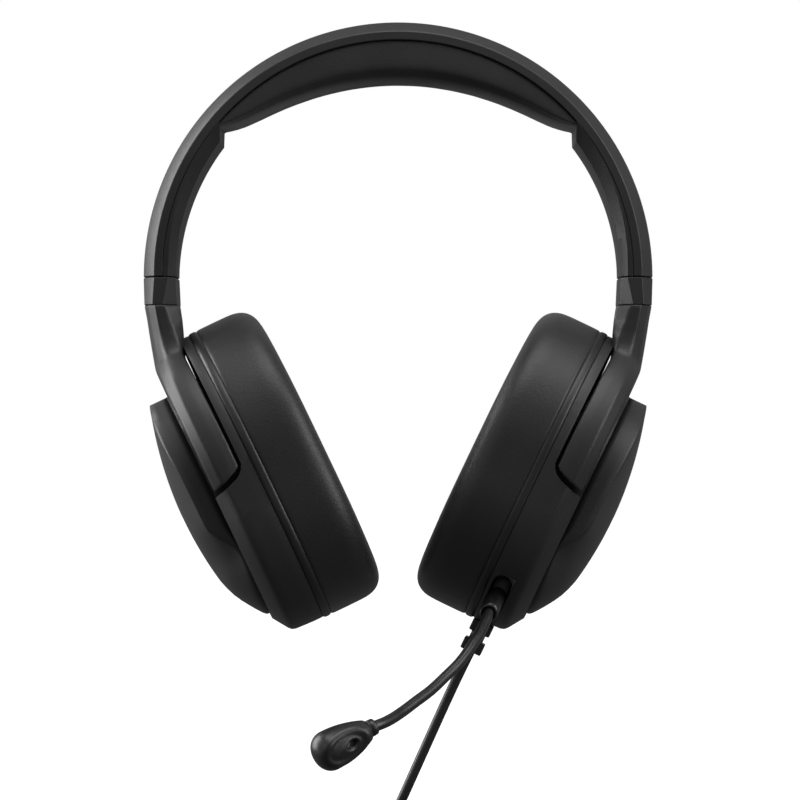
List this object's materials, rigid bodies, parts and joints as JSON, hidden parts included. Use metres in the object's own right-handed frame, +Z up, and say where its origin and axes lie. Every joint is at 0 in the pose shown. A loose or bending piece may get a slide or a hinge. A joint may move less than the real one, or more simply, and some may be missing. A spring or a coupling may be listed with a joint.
{
  "type": "gaming headset",
  "caption": "Wired over-ear headset with a padded headband, size sliders, swivelling and tilting ear cups, a swing-down boom microphone and a coiled lead with an audio plug.",
  "frame": {"origin": "middle of the headband cushion's underside, where the headset rests on the head", "axes": "+Z up, -Y towards the front, the way the wearer faces, +X towards the wearer's left, the side with the microphone"},
  "size_m": [0.1632, 0.1384, 0.3678],
  "materials": {
    "arm_plastic": "fine matte texture",
    "baffle_plastic": "matte",
    "board": "circuit board",
    "boom_rubber": "smooth satin rubber",
    "capsule_metal": "satin",
    "collar_plastic": "fine matte texture",
    "cord_rubber": "matte",
    "cover_plastic": "fine matte texture",
    "cup_plastic": "fine matte texture",
    "cushion_leatherette": "soft satin leatherette",
    "diaphragm_film": "thin film",
    "driver_plastic": "matte",
    "grille_fabric": "woven mesh",
    "headband_leatherette": "soft satin leatherette",
    "liner_plastic": "fine matte texture",
    "magnet_steel": "satin",
    "mic_foam": "open foam",
    "mic_plastic": "satin",
    "pin_steel": "satin",
    "plug_metal": "polished",
    "plug_rubber": "matte",
    "rail_steel": "satin",
    "relief_rubber": "matte",
    "screw_steel": "black zinc",
    "shell_plastic": "fine matte texture",
    "soft_plastic": "matte",
    "spring_steel": "satin",
    "tie_plastic": "matte",
    "wheel_rubber": "fine ribs",
    "wire_rubber": "matte"
  },
  "bodies": {
    "headband": {"headband_shell": "shell_plastic", "spring_band": "spring_steel", "headband_pad_base": "soft_plastic", "headband_cushion": "headband_leatherette", "left_slider_housing": "liner_plastic", "right_slider_housing": "liner_plastic", "left_end_collar": "collar_plastic", "right_end_collar": "collar_plastic", "left_detent_spring": "spring_steel", "right_detent_spring": "spring_steel", "headband_screws": "screw_steel", "crossover_wire": "wire_rubber"},
    "left_slider": {"left_slider_block": "arm_plastic", "left_slider_rail": "rail_steel", "left_swivel_pin": "pin_steel"},
    "right_slider": {"right_slider_block": "arm_plastic", "right_slider_rail": "rail_steel", "right_swivel_pin": "pin_steel"},
    "left_yoke": {"left_yoke": "arm_plastic", "left_tilt_pins": "pin_steel"},
    "right_yoke": {"right_yoke": "arm_plastic", "right_tilt_pins": "pin_steel"},
    "left_cup": {"left_cup_housing": "cup_plastic", "left_outer_cover": "cover_plastic", "left_baffle": "baffle_plastic", "left_cushion_ring": "soft_plastic", "left_ear_cushion": "cushion_leatherette", "left_driver_frame": "driver_plastic", "left_driver_magnet": "magnet_steel", "left_diaphragm": "diaphragm_film", "left_driver_grille": "grille_fabric", "left_cup_screws": "screw_steel", "control_board": "board", "mic_pivot_pin": "pin_steel", "strain_relief": "relief_rubber", "cord": "cord_rubber", "cord_coil": "cord_rubber", "cord_tie": "tie_plastic", "cord_tail": "cord_rubber", "plug_body": "plug_rubber", "plug_pin": "plug_metal"},
    "right_cup": {"right_cup_housing": "cup_plastic", "right_outer_cover": "cover_plastic", "right_baffle": "baffle_plastic", "right_cushion_ring": "soft_plastic", "right_ear_cushion": "cushion_leatherette", "right_driver_frame": "driver_plastic", "right_driver_magnet": "magnet_steel", "right_diaphragm": "diaphragm_film", "right_driver_grille": "grille_fabric", "right_cup_screws": "screw_steel"},
    "microphone": {"mic_hub": "boom_rubber", "mic_boom": "boom_rubber", "mic_housing": "mic_plastic", "mic_capsule": "capsule_metal", "mic_grille": "mic_foam"},
    "volume_wheel": {"volume_wheel": "wheel_rubber"}
  },
  "joints": [
    {"name": "left_size_slide", "type": "slide", "parent": "headband", "child": "left_slider", "axis": [0, 0, -1], "range_m": [0, 0.02]},
    {"name": "left_swivel", "type": "hinge", "parent": "left_slider", "child": "left_yoke", "pos_m": [0.0751, 0, -0.0707], "axis": [0, 0, -1], "range_deg": [-5, 90]},
    {"name": "left_cup_tilt", "type": "hinge", "parent": "left_yoke", "child": "left_cup", "pos_m": [0.05674, 0.00128, -0.12154], "axis": [-0.0698, -0.9976, 0], "range_deg": [0, 12]},
    {"name": "right_size_slide", "type": "slide", "parent": "headband", "child": "right_slider", "axis": [0, 0, -1], "range_m": [0, 0.02]},
    {"name": "right_swivel", "type": "hinge", "parent": "right_slider", "child": "right_yoke", "pos_m": [-0.0751, 0, -0.0707], "axis": [0, 0, 1], "range_deg": [-5, 90]},
    {"name": "right_cup_tilt", "type": "hinge", "parent": "right_yoke", "child": "right_cup", "pos_m": [-0.05674, 0.00128, -0.12154], "axis": [-0.0698, 0.9976, 0], "range_deg": [0, 12]},
    {"name": "mic_swing", "type": "hinge", "parent": "left_cup", "child": "microphone", "pos_m": [0.03326, -0.01963, -0.15814], "axis": [-0.8996, 0.0629, 0.4321], "range_deg": [-25, 40]},
    {"name": "volume_turn", "type": "hinge", "parent": "left_cup", "child": "volume_wheel", "pos_m": [0.03803, 0.03016, -0.15754], "axis": [-0.8996, 0.0629, 0.4321], "range_deg": [0, 270]}
  ]
}
